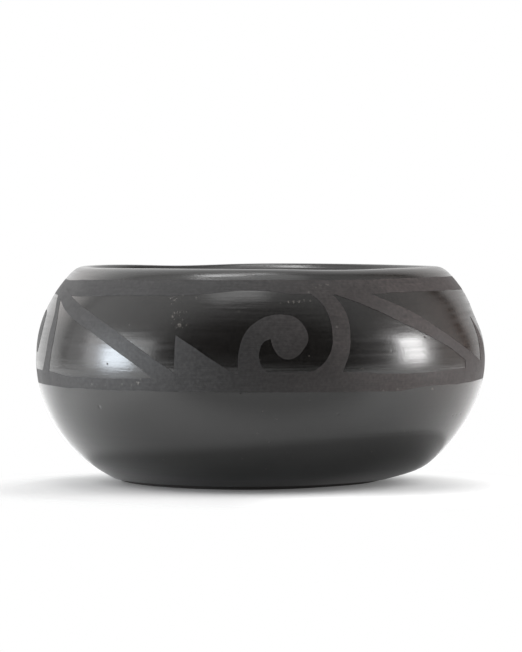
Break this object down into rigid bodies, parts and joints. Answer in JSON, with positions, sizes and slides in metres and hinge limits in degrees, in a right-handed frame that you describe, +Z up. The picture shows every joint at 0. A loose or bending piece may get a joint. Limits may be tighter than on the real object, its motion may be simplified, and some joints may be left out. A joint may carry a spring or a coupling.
{
  "type": "blackware bowl",
  "caption": "Round-bellied, incurved blackware bowl with a flat foot: a coil-built clay body, a burnished slip coat, and scrolls, diagonals and borders painted in matte slip.",
  "frame": {"origin": "middle of the flat foot, on the plane the bowl stands on", "axes": "+Z up along the bowl's turning axis, -Y towards the front, where one painted scroll stands just right of the middle, +X to the right seen from the front"},
  "size_m": [0.2326, 0.2326, 0.1113],
  "materials": {
    "smoked_clay": "matte",
    "burnished_slip": "gloss",
    "matte_slip": "matte"
  },
  "bodies": {
    "root": {"clay_body": "smoked_clay", "burnished_slip_coat": "burnished_slip", "matte_border_upper": "matte_slip", "matte_border_lower": "matte_slip", "matte_scroll_1": "matte_slip", "matte_scroll_2": "matte_slip", "matte_scroll_3": "matte_slip", "matte_scroll_4": "matte_slip", "matte_diagonal_1": "matte_slip", "matte_diagonal_2": "matte_slip", "matte_diagonal_3": "matte_slip", "matte_diagonal_4": "matte_slip", "matte_triangle_1": "matte_slip", "matte_triangle_2": "matte_slip", "matte_triangle_3": "matte_slip", "matte_triangle_4": "matte_slip"}
  },
  "joints": []
}
